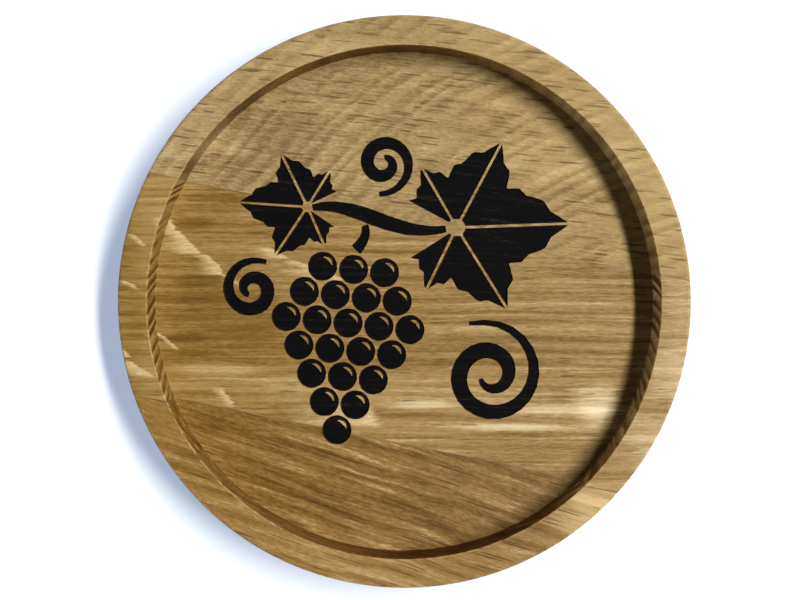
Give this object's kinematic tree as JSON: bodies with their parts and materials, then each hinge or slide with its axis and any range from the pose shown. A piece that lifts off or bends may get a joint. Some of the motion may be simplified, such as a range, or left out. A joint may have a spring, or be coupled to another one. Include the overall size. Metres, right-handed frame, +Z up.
{
  "type": "wooden coaster",
  "caption": "Round oak coaster milled from staves glued edge to edge, with a shallow flat recess that keeps a glass inside its raised rim.",
  "frame": {"origin": "centre of the round underside", "axes": "+X along the grain of the staves, +Y across the staves towards the back one, +Z up out of the recess"},
  "size_m": [0.1, 0.1, 0.01],
  "materials": {
    "oak_back": "oiled matt",
    "oak_middle": "oiled matt",
    "oak_front": "oiled matt",
    "dried_wood_glue": "matt"
  },
  "bodies": {
    "root": {"stave_back": "oak_back", "stave_middle": "oak_middle", "stave_front": "oak_front", "glue_line_back": "dried_wood_glue", "glue_line_front": "dried_wood_glue"}
  },
  "joints": []
}
